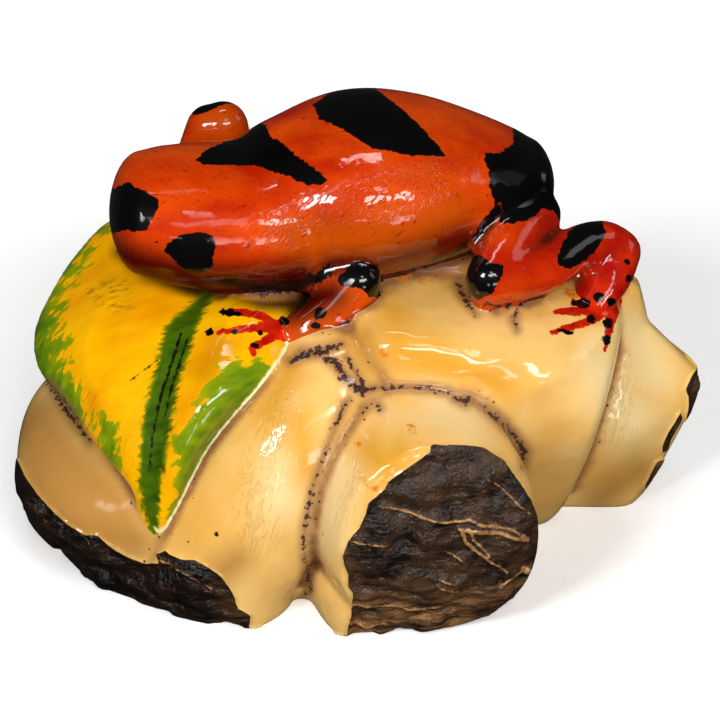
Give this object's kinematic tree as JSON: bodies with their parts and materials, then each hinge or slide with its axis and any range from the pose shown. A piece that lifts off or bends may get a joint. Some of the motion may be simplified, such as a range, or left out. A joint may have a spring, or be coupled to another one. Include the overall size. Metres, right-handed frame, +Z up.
{
  "type": "tagua nut frog carving",
  "caption": "Small painted tree frog lying on a leaf, carved with its rough base from one tagua nut, with dark nut skin left on the base. Lacquered ornament that rests on a flat underside.",
  "frame": {"origin": "centre of the box around the carving, on its flat underside", "axes": "+Z up, +X along the nut from the frog's snout to its rump, -Y towards the front, where the leaf's tip and the round stub with dark nut skin are"},
  "size_m": [0.0604, 0.0402, 0.037],
  "materials": {
    "lacquered_tagua": "amber cream nut flesh, painted orange, black, yellow and green in places, dark nut skin left on, glossy lacquer over all"
  },
  "bodies": {
    "root": {"frog_carving": "lacquered_tagua"}
  },
  "joints": []
}
